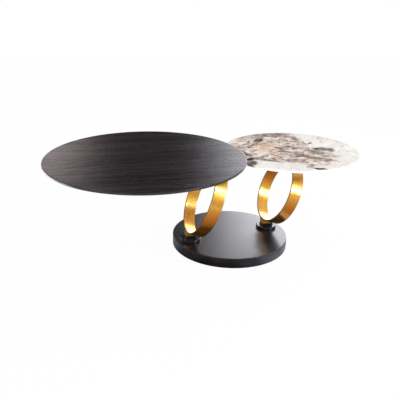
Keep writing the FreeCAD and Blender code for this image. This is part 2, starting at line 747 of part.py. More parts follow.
support_plate = new_body("board_support_plate")
plate_sketch = new_sketch(support_plate, "support_plate_outline", "XY_Plane", BOARD_UNDERSIDE)
draw_slot(plate_sketch, inner_centre, outer_centre, plate_radius)
pad_up(support_plate, plate_sketch, "Sizes.support_plate_thickness")
drill_up(support_plate, "plate_screw_holes", board_screw_centres, board_screw_hole,
         BOARD_UNDERSIDE, "Sizes.support_plate_thickness")
dress(support_plate, "Chamfer", circle_edges(support_plate, board_screw_hole, BOARD_UNDERSIDE),
      board_screw_radius)
place_at_pivot(support_plate, "large", "Sizes.large_heading", BOARD_OFFSET)

board_screws = new_body("board_screws", several_solids=True)
board_screw = turned_aside(board_screws, inner_centre, screw_section(
    board_screw_head, BOARD_UNDERSIDE, f"({BOARD_UNDERSIDE} + {board_screw_radius})",
    board_screw_radius, f"({recess_ceiling} + {board_screw_reach})", cone=True
), offset=screw_row)
screw_rows = board_screws.newObject("PartDesign::LinearPattern", "board_screw_rows")
screw_rows.Originals = [board_screw]
screw_rows.Direction = (origin_feature(board_screws, "X_Axis"), [""])
screw_rows.setExpression("Length", screw_row_length)
screw_rows.Occurrences = BOARD_SCREW_COLUMNS
screw_rows.Direction2 = (origin_feature(board_screws, "Y_Axis"), [""])
screw_rows.setExpression("Length2", f"2 * {screw_row}")
screw_rows.Occurrences2 = 2
board_screws.Tip = screw_rows
place_at_pivot(board_screws, "large", "Sizes.large_heading", BOARD_OFFSET)

# ---------------------------------------------------------------- the stone top
slab_radius = "Sizes.slab_diameter / 2"
stone_slab = turned("stone_slab", top_section(
    slab_radius, SLAB_UNDERSIDE, SLAB_TOP, "Sizes.slab_bevel_drop", "Sizes.slab_bevel_width"
))
dress(stone_slab, "Chamfer", circle_edges(stone_slab, slab_radius, SLAB_TOP), "Sizes.slab_arris")
place_at_pivot(stone_slab, "small", "Sizes.small_heading", SLAB_OFFSET)

# A steel disc bonded under the stone holds the threads that stone can't
plate_screw_radius = "Sizes.plate_screw_diameter / 2"
plate_screw_hole = f"({plate_screw_radius} + Sizes.thread_gap)"
plate_screw_circle = "(Sizes.mounting_plate_diameter / 2 - Sizes.plate_screw_margin)"
plate_screw_reach = "(Sizes.backing_thickness - Sizes.plate_screw_cover)"
mounting_radius = "Sizes.mounting_plate_diameter / 2"
plate_screw_turns = [number * 360 / PLATE_SCREW_COUNT for number in range(PLATE_SCREW_COUNT)]
backing_disc = turned("stone_backing_disc", [
    ("0", BACKING_UNDERSIDE),
    ("Sizes.backing_diameter / 2", BACKING_UNDERSIDE),
    ("Sizes.backing_diameter / 2", SLAB_UNDERSIDE),
    ("0", SLAB_UNDERSIDE),
])
head_from_slab = f"({HEAD_REACH['small']} - {SLAB_OFFSET})"
backing_holes = []
for degrees in plate_screw_turns:
    out, beside = on_circle(plate_screw_circle, degrees)
    backing_holes.append((f"{head_from_slab} + {out}", beside))
drill_up(backing_disc, "backing_tapped_holes", backing_holes, plate_screw_hole,
         BACKING_UNDERSIDE, plate_screw_reach)
place_at_pivot(backing_disc, "small", "Sizes.small_heading", SLAB_OFFSET)

# The round plate welded on the head block, and the screws that pull it up to the backing disc
mounting_plate = turned("stone_mounting_plate", [
    ("0", MOUNTING_PLATE_UNDERSIDE),
    (mounting_radius, MOUNTING_PLATE_UNDERSIDE),
    (mounting_radius, BACKING_UNDERSIDE),
    ("0", BACKING_UNDERSIDE),
])
drill_up(mounting_plate, "mounting_screw_holes",
         [on_circle(plate_screw_circle, degrees) for degrees in plate_screw_turns],
         plate_screw_hole, MOUNTING_PLATE_UNDERSIDE, "Sizes.mounting_plate_thickness")
dress(mounting_plate, "Chamfer",
      circle_edges(mounting_plate, plate_screw_hole, MOUNTING_PLATE_UNDERSIDE), plate_screw_radius)
place_at_pivot(mounting_plate, "small", "Sizes.small_heading", HEAD_REACH["small"])

plate_screws = new_body("mounting_plate_screws", several_solids=True)
plate_screw = turned_aside(plate_screws, plate_screw_circle, screw_section(
    "Sizes.plate_screw_diameter", MOUNTING_PLATE_UNDERSIDE,
    f"({MOUNTING_PLATE_UNDERSIDE} + {plate_screw_radius})", plate_screw_radius,
    f"({BACKING_UNDERSIDE} + {plate_screw_reach})", cone=True
))
repeat_round(plate_screws, plate_screw, PLATE_SCREW_COUNT)
place_at_pivot(plate_screws, "small", "Sizes.small_heading", HEAD_REACH["small"])

# ---------------------------------------------------------------- checks and files
doc.recompute()
for item in doc.Objects:
    if "Invalid" in item.State or "Error" in item.State:
        raise RuntimeError(f"{item.Label} failed: {item.State}")

nodes = [item for item in doc.Objects if item.TypeId == "PartDesign::Body"]
for node in nodes:
    if node.Shape.isNull() or not node.Shape.isValid() or not node.Shape.Solids:
        raise RuntimeError(f"{node.Label} has no sound solid")

os.makedirs("parts", exist_ok=True)
for node in nodes:
    node.Shape.exportStep(os.path.join("parts", f"{node.Label}.step"))
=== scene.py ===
import json
import math

import bmesh
import bpy
from mathutils import Matrix, Vector


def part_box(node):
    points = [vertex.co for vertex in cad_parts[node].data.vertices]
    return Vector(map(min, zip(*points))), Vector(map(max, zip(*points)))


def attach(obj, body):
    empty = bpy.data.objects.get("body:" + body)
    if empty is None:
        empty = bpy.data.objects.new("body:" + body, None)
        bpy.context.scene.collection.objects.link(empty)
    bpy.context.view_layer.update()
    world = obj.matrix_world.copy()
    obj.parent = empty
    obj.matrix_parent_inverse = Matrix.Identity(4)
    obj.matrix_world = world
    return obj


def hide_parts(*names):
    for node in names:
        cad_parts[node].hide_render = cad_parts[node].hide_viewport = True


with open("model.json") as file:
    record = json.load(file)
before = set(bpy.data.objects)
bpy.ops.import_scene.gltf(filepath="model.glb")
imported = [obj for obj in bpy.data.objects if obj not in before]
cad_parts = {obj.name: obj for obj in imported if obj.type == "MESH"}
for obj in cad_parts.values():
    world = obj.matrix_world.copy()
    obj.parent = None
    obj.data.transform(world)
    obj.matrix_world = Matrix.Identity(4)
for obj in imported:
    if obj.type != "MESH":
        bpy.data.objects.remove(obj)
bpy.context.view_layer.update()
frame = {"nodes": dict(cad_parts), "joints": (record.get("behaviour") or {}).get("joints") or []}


# ---------------------------------------------------------------- the base shell
# A lid pressed from 3 mm steel sheet, its top edge rolled to a crisp 2 mm radius and its
# skirt hiding the ballast. It is sprayed satin black and flatted, so it mirrors softly.
class Wire:
    """A socket in the node tree of a finish. Working with wires adds the nodes that do it."""

    def __init__(self, tree, socket=None):
        self.tree = tree
        self.socket = socket

    def node(self, kind, settings=None, inputs=None, output=0):
        """Adds a node: its settings first, then the numbers, colours or wires it takes."""
        made = self.tree.nodes.new(kind)
        for name, setting in (settings or {}).items():
            if name == "stops":
                elements = made.color_ramp.elements
                elements[0].position = setting[0][0]
                elements[1].position = setting[-1][0]
                for position, _ in setting[1:-1]:
                    elements.new(position)
                for element, (_, colour) in zip(elements, setting):
                    element.color = (*colour, 1)
            else:
                setattr(made, name, setting)
        for name, given in (inputs or {}).items():
            socket = made.inputs[name]
            if isinstance(given, Wire):
                self.tree.links.new(given.socket, socket)
            elif socket.type == "RGBA":
                socket.default_value = (*given, 1)
            else:
                socket.default_value = given
        return Wire(self.tree, made.outputs[output] if made.outputs else None)

    def number(self, operation, first, second=0.0):
        return self.node("ShaderNodeMath", {"operation": operation}, {0: first, 1: second})

    def vector(self, operation, first, second=(0, 0, 0), output=0):
        return self.node("ShaderNodeVectorMath", {"operation": operation},
                         {0: first, 1: second}, output)

    def __add__(self, other):
        return self.number("ADD", self, other)

    def __sub__(self, other):
        return self.number("SUBTRACT", self, other)

    def __rsub__(self, other):
        return self.number("SUBTRACT", other, self)

    def __mul__(self, other):
        return self.number("MULTIPLY", self, other)

    __radd__ = __add__
    __rmul__ = __mul__

    def most(self, other):
        """The larger of two numbers."""
        return self.number("MAXIMUM", self, other)

    def size(self):
        """The length of a vector."""
        return self.vector("LENGTH", self, output="Value")

    def part(self, index):
        """One of the three parts of a vector."""
        return self.node("ShaderNodeSeparateXYZ", {}, {0: self}, index)


def new_finish(name):
    """An empty finish, and the wire that its nodes start from: the piece's own coordinates."""
    finish = bpy.data.materials.new(name)
    finish.use_nodes = True
    finish.node_tree.nodes.clear()
    start = Wire(finish.node_tree)
    return finish, start.node("ShaderNodeTexCoord", output="Object")


def noise(where, scale, detail=3.0, roughness=0.5, output=0):
    return where.node("ShaderNodeTexNoise", {}, {
        "Vector": where, "Scale": scale, "Detail": detail, "Roughness": roughness,
    }, output)


def placed(where, centre=(0, 0, 0), turn=0.0, unit=(1, 1, 1)):
    """Coordinates counted from a centre, turned about the upright, in units of their own."""
    return where.node("ShaderNodeMapping", {"vector_type": "TEXTURE"}, {
        "Vector": where, "Location": centre, "Rotation": (0, 0, turn), "Scale": unit,
    })


def stretched(where, scale, turn=0.0):
    """Coordinates turned about the upright and stretched, for a pattern with a direction."""
    turned = placed(where, turn=turn)
    return turned.vector("MULTIPLY", turned, scale)


def between(wire, low, high, first=0.0, last=1.0, way="SMOOTHSTEP"):
    """Runs from first to last while a wire goes from low to high, smoothly unless told."""
    return wire.node("ShaderNodeMapRange", {"interpolation_type": way}, {
        "Value": wire, "From Min": low, "From Max": high, "To Min": first, "To Max": last,
    })


# Nearly all of a noise lies between these
NOISE_LOW = 0.3
NOISE_HIGH = 0.7


def spread(pattern, first=0.0, last=1.0):
    """Runs from first to last over the range that a noise fills."""
    return between(pattern, NOISE_LOW, NOISE_HIGH, first, last)


def blended(share, first, second):
    """One colour over another by a share."""
    return share.node("ShaderNodeMix", {"data_type": "RGBA"}, {0: share, 6: first, 7: second}, 2)


def surface(wire, height, depth, inputs):
    """A coated surface: its bump from a height, and the shader's sockets."""
    bump = wire.node("ShaderNodeBump", {}, {
        "Strength": 1.0, "Distance": depth, "Height": height,
    })
    return wire.node("ShaderNodeBsdfPrincipled", {}, {**inputs, "Normal": bump})


def close_finish(wire, height, depth, inputs):
    """Ends a finish that is one surface all over."""
    wire.node("ShaderNodeOutputMaterial", {}, {"Surface": surface(wire, height, depth, inputs)})


# Corners of a mesh nearer than this are one, and a corner this near a rim is on it
WELD_REACH = 1e-6
ON_RIM = 1e-5


def turned_mesh(outline, steps, closed=False):
    """A mesh turned about the upright from the corners of half its section."""
    mesh = bmesh.new()
    corners = [mesh.verts.new((radius, 0, height)) for radius, height in outline]
    followers = corners[1:] + corners[:1] if closed else corners[1:]
    sides = [mesh.edges.new(pair) for pair in zip(corners, followers)]
    bmesh.ops.spin(mesh, geom=corners + sides, cent=(0, 0, 0), axis=(0, 0, 1),
                   angle=math.tau, steps=steps, use_merge=True)
    bmesh.ops.remove_doubles(mesh, verts=mesh.verts, dist=WELD_REACH)
    bmesh.ops.recalc_face_normals(mesh, faces=mesh.faces)
    return mesh


def round_rim(mesh, radius, height, size, segments):
    """Rounds the circular edge that a turned mesh has at one radius and height."""
    def on_rim(corner):
        off = Vector((corner.co.xy.length - radius, corner.co.z - height))
        return max(abs(off.x), abs(off.y)) <= ON_RIM

    rim = [edge for edge in mesh.edges if all(on_rim(corner) for corner in edge.verts)]
    bmesh.ops.bevel(mesh, geom=rim, offset=size, offset_type="OFFSET", affect="EDGES",
                    segments=segments, profile=0.5, material=-1)


SHARP_DEGREES = 32


def finish_piece(name, mesh, place, finishes, body, node):
    """Puts a mesh in its place, shades it, and has it stand for a CAD node on its body."""
    mesh.transform(place)
    data = bpy.data.meshes.new(name)
    mesh.to_mesh(data)
    mesh.free()
    data.shade_smooth()
    data.set_sharp_from_angle(angle=math.radians(SHARP_DEGREES))
    for finish in finishes:
        data.materials.append(finish)
    piece = bpy.data.objects.new(name, data)
    bpy.context.scene.collection.objects.link(piece)
    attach(piece, body)
    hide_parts(node)


def finish_node(finish, *names):
    """Gives CAD nodes that keep their shape a finish."""
    for name in names:
        materials = frame["nodes"][name].data.materials
        materials.clear()
        materials.append(finish)


def heights(node):
    """The lowest and the highest height of a CAD node."""
    return tuple(corner.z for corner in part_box(node))


SHELL_MOUTH, SHELL_TOP = heights("base_shell")
SHELL_RADIUS = 0.240
SHELL_WALL = 0.003
SHELL_EDGE = 0.002
SHELL_LOWER_EDGE = 0.0005
# Steps round the three wide pieces: the shell and both tops
WIDE_STEPS = 320
# Rings that keep the flat faces flat beside a rounded edge
EDGE_RING = 0.0015

satin_black, where = new_finish("satin_black_lacquer")
orange_peel = noise(where, 420, 2)
dust_flatting = noise(where, 9, 4)
hairlines = noise(stretched(where, (14, 900, 900), turn=0.3), 1, 3)
close_finish(where, orange_peel * 0.6 + hairlines * 0.4, 0.00002, {
    "Base Color": blended(dust_flatting, (0.0040, 0.0039, 0.0050), (0.0070, 0.0068, 0.0085)),
    "Roughness": spread(dust_flatting, 0.23, 0.28) + hairlines * 0.03,
    "IOR": 1.55,
    "Specular Tint": (0.86, 0.92, 1.0),
    "Coat Weight": 0.4,
    "Coat Roughness": 0.22,
    "Coat IOR": 1.5,
})

shell = turned_mesh([
    (0, SHELL_TOP - SHELL_WALL), (SHELL_RADIUS - SHELL_WALL, SHELL_TOP - SHELL_WALL),
    (SHELL_RADIUS - SHELL_WALL, SHELL_MOUTH), (SHELL_RADIUS, SHELL_MOUTH),
    (SHELL_RADIUS, SHELL_MOUTH + EDGE_RING), (SHELL_RADIUS, SHELL_TOP - SHELL_EDGE - EDGE_RING),
    (SHELL_RADIUS, SHELL_TOP), (SHELL_RADIUS - SHELL_EDGE - EDGE_RING, SHELL_TOP),
    (SHELL_RADIUS / 2, SHELL_TOP), (0, SHELL_TOP),
], WIDE_STEPS)
round_rim(shell, SHELL_RADIUS, SHELL_TOP, SHELL_EDGE, segments=5)
round_rim(shell, SHELL_RADIUS, SHELL_MOUTH, SHELL_LOWER_EDGE, segments=2)
finish_piece("base_shell_lacquered", shell, Matrix(), [satin_black], "base",
             "base_shell")

# ---------------------------------------------------------------- inside and under the base
# A flame-cut ballast disc hangs on studs welded under the lid. A thin powder-coated cover, on
# zinc-plated spacers and screws, closes the base, and a moulded rubber pad lies under it.
mill_steel, where = new_finish("mill_scale_steel")
scale_patches = noise(where, 24, 6, 0.6)
pits = noise(where, 700, 2)
close_finish(where, scale_patches * 0.5 + pits * 0.5, 0.0002, {
    "Base Color": blended(between(scale_patches, 0.35, 0.7), (0.055, 0.052, 0.055),
                          (0.16, 0.115, 0.085)),
    "Metallic": 0.7,
    "Roughness": spread(pits, 0.45, 0.65),
})
finish_node(mill_steel, "ballast_disc")

zinc, where = new_finish("bright_zinc_plate")
spangle = where.node("ShaderNodeTexVoronoi", {"feature": "F1"}, {
    "Vector": where, "Scale": 240.0,
})
tool_marks = noise(stretched(where, (60, 60, 1400)), 1, 2)
close_finish(where, tool_marks, 0.00004, {
    "Base Color": blended(spangle, (0.50, 0.51, 0.53), (0.64, 0.65, 0.68)),
    "Metallic": 1.0,
    "Roughness": spread(tool_marks, 0.26, 0.40),
})
finish_node(zinc, "ballast_studs", "ballast_nuts", "cover_spacers", "cover_screws")

black_powder, where = new_finish("black_powder_coat")
grit = noise(where, 900, 2)
drift = noise(where, 16, 3)
close_finish(where, grit, 0.00006, {
    "Base Color": blended(drift, (0.012, 0.012, 0.013), (0.020, 0.019, 0.020)),
    "Roughness": spread(grit, 0.42, 0.56),
    "IOR": 1.5,
})
finish_node(black_powder, "bottom_cover")

rubber, where = new_finish("moulded_rubber")
tooth = noise(where, 1300, 2)
bloom = noise(where, 12, 4)
close_finish(where, tooth, 0.00012, {
    "Base Color": blended(bloom, (0.014, 0.014, 0.015), (0.028, 0.027, 0.027)),
    "Roughness": spread(tooth, 0.72, 0.88),
    "IOR": 1.5,
})
finish_node(rubber, "floor_pad")

# ---------------------------------------------------------------- the swivel housings
# Each is turned from solid, a flange above the lid and a spigot through it, then lacquered
# and polished to a deep gloss. The arm's shaft turns in two bushes inside it, held by a washer
# and a nut below, and the arm rides on a slide washer above.
SPIGOT_END, FLANGE_TOP = heights("large_swivel_housing")
FLANGE_RADIUS = 0.043
FLANGE_EDGE = 0.003
FLANGE_LOWER_EDGE = 0.0004
FLANGE_STEPS = 128
SPIGOT_RADIUS = 0.023
BORE_RADIUS = 0.01305
BUSH_SEAT_RADIUS = 0.02005
BUSH_SEAT_DEPTH = 0.002

gloss_black, where = new_finish("gloss_black_lacquer")
polish_swirl = noise(where, 60, 3)
fine_scratches = noise(stretched(where, (1600, 90, 90)), 1, 2)
close_finish(where, fine_scratches, 0.000006, {
    "Base Color": blended(polish_swirl, (0.0045, 0.0043, 0.0050), (0.0075, 0.0072, 0.0080)),
    "Roughness": spread(polish_swirl, 0.05, 0.09),
    "IOR": 1.5,
    "Coat Weight": 0.2,
    "Coat Roughness": 0.03,
    "Coat IOR": 1.5,
})

# The foot of each swivel's axis, by the side that it carries
pivots = {}
for joint in frame["joints"]:
    side = joint["child"].removesuffix("_arm")
    pivots[side] = Vector((*joint["pos_m"][:2], 0))
bush_seat = FLANGE_TOP - BUSH_SEAT_DEPTH
for side, pivot in pivots.items():
    housing = turned_mesh([
        (BORE_RADIUS, SPIGOT_END), (SPIGOT_RADIUS, SPIGOT_END), (SPIGOT_RADIUS, SHELL_TOP),
        (FLANGE_RADIUS, SHELL_TOP), (FLANGE_RADIUS, SHELL_TOP + EDGE_RING),
        (FLANGE_RADIUS, FLANGE_TOP - FLANGE_EDGE - EDGE_RING), (FLANGE_RADIUS, FLANGE_TOP),
        (FLANGE_RADIUS - FLANGE_EDGE - EDGE_RING, FLANGE_TOP),
        (BUSH_SEAT_RADIUS, FLANGE_TOP), (BUSH_SEAT_RADIUS, bush_seat), (BORE_RADIUS, bush_seat),
    ], FLANGE_STEPS, closed=True)
    round_rim(housing, FLANGE_RADIUS, FLANGE_TOP, FLANGE_EDGE, segments=6)
    round_rim(housing, FLANGE_RADIUS, SHELL_TOP, FLANGE_LOWER_EDGE, segments=2)
    finish_piece(f"{side}_housing_polished", housing, Matrix.Translation(pivot),
                 [gloss_black], "base", f"{side}_swivel_housing")

acetal, where = new_finish("machined_acetal")
feed_marks = noise(stretched(where, (300, 300, 2600)), 1, 2)
close_finish(where, feed_marks, 0.00003, {
    "Base Color": blended(noise(where, 40), (0.72, 0.70, 0.63), (0.80, 0.78, 0.71)),
    "Roughness": spread(feed_marks, 0.38, 0.50),
    "IOR": 1.48,
})
nylon, where = new_finish("black_nylon_washer")
rubbed = noise(where, 300, 4)
close_finish(where, rubbed, 0.00003, {
    "Base Color": blended(rubbed, (0.012, 0.012, 0.012), (0.022, 0.021, 0.021)),
    "Roughness": spread(rubbed, 0.40, 0.55),
})
for side in pivots:
    finish_node(acetal, f"{side}_upper_bush", f"{side}_lower_bush")
    finish_node(nylon, f"{side}_slide_washer")
    finish_node(zinc, f"{side}_housing_screws", f"{side}_swivel_shaft", f"{side}_lock_washer",
                f"{side}_lock_nut")

# ---------------------------------------------------------------- the hoops
# Each is flat steel bar, 50 by 6 mm, rolled into a ring that leans 21 degrees and welded to a
# block at its foot and at its head. The bar is brushed along its length and plated gold. Its
# long edges are broken by hand, and the foot block is dipped in the swivel's black lacquer.
LEAN = math.radians(21)
HEADING = {"large": math.radians(10), "small": math.radians(12)}
HOOP_SEAT = 0.076
HOOP_TOP = {"large": 0.367, "small": 0.335}
BAND_WIDTH = 0.050
BAND_THICKNESS = 0.006
BAND_EDGE = 0.0008
HOOP_STEPS = 360
LACQUER_TOP = 0.067
LACQUER_FADE = 0.0003
UP = Vector((0, 0, 1))

GOLD_LIGHT = (0.82, 0.415, 0.018)
GOLD_DEEP = (0.66, 0.28, 0.008)
# The narrow edge faces of the band take a darker, browner copy of the gold: painted shade on the
# edges, where the real plate is the same gold all over
SHADED_EDGE_LIGHT = (0.26, 0.115, 0.016)
SHADED_EDGE_DEEP = (0.18, 0.070, 0.008)


def gold_finish(name, light=GOLD_LIGHT, deep=GOLD_DEEP, coat=1.0, on_block=False):
    """Gold plate brushed along the bar, or brushed level on a block and lacquered below."""
    finish, start = new_finish(name)
    where = start if on_block else start.node("ShaderNodeUVMap", {"uv_map": "along_bar"})

    def strokes(along, over, detail=3.0, roughness=0.5):
        scale = (along, along, over) if on_block else (along, over, 1)
        return noise(stretched(where, scale), 1, detail, roughness)

    coarse = strokes(4, 420, 3, 0.6)
    fine = strokes(12, 2600, 2, 0.6)
    sweep = strokes(3, 90)
    brushed = coarse * 0.55 + fine * 0.45
    plate = surface(start, brushed, 0.000014, {
        "Base Color": blended(spread(brushed) * 0.6 + sweep * 0.4, deep, light),
        "Metallic": 0.96,
        "Roughness": spread(brushed, 0.21, 0.29),
        "Coat Weight": coat,
        "Coat Roughness": 0.19,
        "Coat IOR": 1.62,
    })
    if on_block:
        lacquer = surface(start, fine, 0.000004, {
            "Base Color": (0.006, 0.006, 0.007), "Roughness": spread(coarse, 0.08, 0.14),
        })
        plate = start.node("ShaderNodeMixShader", {}, {
            0: between(start.part(2), LACQUER_TOP, LACQUER_TOP + LACQUER_FADE),
            1: lacquer, 2: plate,
        })
    start.node("ShaderNodeOutputMaterial", {}, {"Surface": plate})
    return finish


gold_band = gold_finish("brushed_gold_band")
gold_edge_painted_shade = gold_finish("gold_band_edge_painted_shade", SHADED_EDGE_LIGHT, SHADED_EDGE_DEEP, coat=0.3)
gold_block = gold_finish("brushed_gold_block", on_block=True)


def unroll(mesh, name, radius, across):
    """Maps a ring in metres as if it were cut and laid flat: along it, then across it."""
    layer = mesh.loops.layers.uv.new(name)
    for face in mesh.faces:
        turns = [math.atan2(loop.vert.co.y, loop.vert.co.x) for loop in face.loops]
        over_seam = max(turns) - min(turns) > math.pi
        for loop, angle in zip(face.loops, turns):
            if over_seam and angle < 0:
                angle += math.tau
            loop[layer].uv = (angle * radius, across(loop.vert.co))


def forward(side):
    """The level direction in which an arm heads."""
    return Vector((math.cos(HEADING[side]), math.sin(HEADING[side]), 0))


for side in HEADING:
    radius = (HOOP_TOP[side] - HOOP_SEAT) / (2 * math.cos(LEAN))
    inside = radius - BAND_THICKNESS
    half = BAND_WIDTH / 2
    ring = EDGE_RING + BAND_EDGE
    hoop = turned_mesh([
        (inside, -half), (radius, -half), (radius, -half + ring), (radius, 0),
        (radius, half - ring), (radius, half), (inside, half), (inside, half - ring),
        (inside, 0), (inside, -half + ring),
    ], HOOP_STEPS, closed=True)
    for rim_radius in (inside, radius):
        for rim_height in (-half, half):
            round_rim(hoop, rim_radius, rim_height, BAND_EDGE, segments=3)
    unroll(hoop, "along_bar", radius, lambda corner: corner.z + corner.xy.length)
    # Faces on the narrow edges take the second finish, the gold with painted shade
    for face in hoop.faces:
        face.material_index = abs(face.calc_center_median().z) > half - BAND_EDGE
    # The ring's axis leans back from the heading, and its first point rests on the foot block
    rise = math.sin(LEAN) * forward(side) + math.cos(LEAN) * UP
    axis = -math.cos(LEAN) * forward(side) + math.sin(LEAN) * UP
    turn = Matrix((-rise, axis.cross(-rise), axis)).transposed().to_4x4()
    centre = pivots[side] + HOOP_SEAT * UP + radius * rise
    finish_piece(f"{side}_hoop_brushed", hoop, Matrix.Translation(centre) @ turn,
                 [gold_band, gold_edge_painted_shade], f"{side}_arm", f"{side}_hoop")
    finish_node(gold_block, f"{side}_foot_block", f"{side}_head_block")

# ---------------------------------------------------------------- the wood top
# A round board, its faces veneered in near-black smoked oak with the grain running along the
# arm, satin lacquered. Its underside is bevelled so that only a thin rim shows, and has a
# recess for the arm's steel plate, which is screwed up into it.
BOARD_UNDERSIDE, BOARD_TOP = heights("wood_board")
BOARD_RADIUS = 0.390
# How far the rim reaches past the top of its hoop
BOARD_OVERHANG = 0.094
BEVEL_DROP = 0.010
BEVEL_WIDTH = 0.040
BOARD_ARRIS = 0.002
BOARD_LOWER_EDGE = 0.0006
BOARD_MID_RING = 0.2
PLATE_HALF_WIDTH = 0.055
PLATE_THICKNESS = 0.006
PLATE_MARGIN = 0.007
RECESS_GAP = 0.0005
RECESS_STEPS = 96
# A face tipped past this share of level is part of the upright rim
RIM_TIP = 0.6

hoop_reach = (HOOP_TOP["large"] - HOOP_SEAT) * math.tan(LEAN)
board_offset = hoop_reach + BOARD_OVERHANG - BOARD_RADIUS
board_centre = pivots["large"] + board_offset * forward("large")


def wood_finish(name, place, over, index, lacquer):
    """Smoked veneer under satin lacquer: long figure, close grain lines and open pores."""
    finish, start = new_finish(name)
    where = place(start)
    wander = noise(stretched(where, (2.5, 9, 2.5)), 1, 2)
    bowed = where.vector(
        "ADD", where, where.node("ShaderNodeCombineXYZ", {}, {"Y": wander * 0.03}))
    figure = noise(stretched(bowed, (1.3, over * 0.22, 3)), 1, 4, 0.6)
    lines = noise(stretched(bowed, (3, over, 4)), 1, 4, 0.62)
    pores = noise(stretched(bowed, (14, over * 7, 30)), 1, 2, 0.7)
    open_pores = between(pores, 0.56, 0.66)
    tone = between(lines, 0.32, 0.68) * 0.55 + spread(figure) * 0.45
    base = blended(tone, (0.0058, 0.0042, 0.0052), (0.0190, 0.0142, 0.0165))
    close_finish(start, lines * 0.35 - open_pores * 0.65, 0.00016, {
        "Base Color": blended(open_pores, base, (0.0042, 0.0032, 0.0036)),
        "Roughness": between(tone, 0.2, 0.8, 0.18, 0.26) + open_pores * 0.12,
        "IOR": index,
        "Coat Weight": between(tone, 0.35, 0.70, 0.0, lacquer),
        "Coat Roughness": 0.20,
        "Coat IOR": 1.5,
    })
    return finish


def along_board(start):
    """Coordinates with the first axis along the grain, from the board's centre."""
    return placed(start, board_centre, HEADING["large"])


def round_rim_map(start):
    """The rim's own map: round the board, then up."""
    return start.node("ShaderNodeUVMap", {"uv_map": "round_rim"})


# The close lines to a metre across the grain, on the faces and on the rim
FACE_LINES = 95.0
RIM_LINES = 160.0
veneer = wood_finish("smoked_oak_veneer", along_board, FACE_LINES, index=1.20, lacquer=0.22)
edge_band = wood_finish("smoked_oak_edge_band", round_rim_map, RIM_LINES, index=1.5, lacquer=0.4)


def board_mesh():
    """The board about its own centre, with the recess for the plate along +X."""
    flat_radius = BOARD_RADIUS - BEVEL_WIDTH
    mesh = turned_mesh([
        (flat_radius - EDGE_RING, BOARD_UNDERSIDE), (flat_radius, BOARD_UNDERSIDE),
        (flat_radius + EDGE_RING, BOARD_UNDERSIDE + EDGE_RING * BEVEL_DROP / BEVEL_WIDTH),
        (BOARD_RADIUS, BOARD_UNDERSIDE + BEVEL_DROP), (BOARD_RADIUS, BOARD_TOP),
        (BOARD_RADIUS - BOARD_ARRIS - EDGE_RING, BOARD_TOP), (BOARD_MID_RING, BOARD_TOP),
        (0, BOARD_TOP),
    ], WIDE_STEPS)
    round_rim(mesh, BOARD_RADIUS, BOARD_TOP, BOARD_ARRIS, segments=3)
    round_rim(mesh, BOARD_RADIUS, BOARD_UNDERSIDE + BEVEL_DROP, BOARD_LOWER_EDGE, segments=2)
    # The mouth of the recess is a slot, and the flat underside is filled round it
    outer_centre = flat_radius - PLATE_MARGIN - PLATE_HALF_WIDTH
    mouth = bmesh.ops.create_circle(mesh, cap_ends=False, segments=RECESS_STEPS,
                                    radius=PLATE_HALF_WIDTH + RECESS_GAP)
    for corner in mouth["verts"]:
        corner.co.x += outer_centre if corner.co.x > 0 else PLATE_HALF_WIDTH
        corner.co.z = BOARD_UNDERSIDE
    slot_edges = {edge for corner in mouth["verts"] for edge in corner.link_edges}
    open_edges = [edge for edge in mesh.edges if edge.is_boundary or edge in slot_edges]
    bmesh.ops.triangle_fill(mesh, edges=open_edges, use_beauty=True)
    # Past the fill the recess has walls and a ceiling
    walls = bmesh.ops.extrude_edge_only(mesh, edges=list(slot_edges))["geom"]
    ceiling = [item for item in walls if isinstance(item, bmesh.types.BMVert)]
    bmesh.ops.translate(mesh, verts=ceiling, vec=(0, 0, PLATE_THICKNESS))
    rim = [item for item in walls if isinstance(item, bmesh.types.BMEdge)
           and all(corner in ceiling for corner in item.verts)]
    bmesh.ops.triangle_fill(mesh, edges=rim, use_beauty=True)
    bmesh.ops.recalc_face_normals(mesh, faces=mesh.faces)
    for face in mesh.faces:
        on_rim = face.calc_center_median().xy.length > flat_radius
        face.material_index = on_rim and abs(face.normal.z) < RIM_TIP
    unroll(mesh, "round_rim", BOARD_RADIUS, lambda corner: corner.z)
    return mesh


board_place = Matrix.Translation(board_centre) @ Matrix.Rotation(HEADING["large"], 4, "Z")
finish_piece("wood_top_veneered", board_mesh(), board_place, [veneer, edge_band], "large_arm",
             "wood_board")
finish_node(zinc, "board_screws")
finish_node(black_powder, "board_support_plate")

# ---------------------------------------------------------------- the stone top
# A polished slab of brecciated marble, creamy and clean on one side, crazed with taupe and
# brown on the other. A primed steel disc is bonded under it and screwed to the arm's plate.
SLAB_UNDERSIDE, SLAB_TOP = heights("stone_slab")
SLAB_RADIUS = 0.275
SLAB_OFFSET = 0.086
SLAB_BEVEL_DROP = 0.003
SLAB_BEVEL_WIDTH = 0.008
SLAB_ARRIS = 0.001
SLAB_LOWER_EDGE = 0.0008
SLAB_MID_RING = 0.14
MILLIMETRE = 0.001

slab_centre = pivots["small"] + SLAB_OFFSET * forward("small")

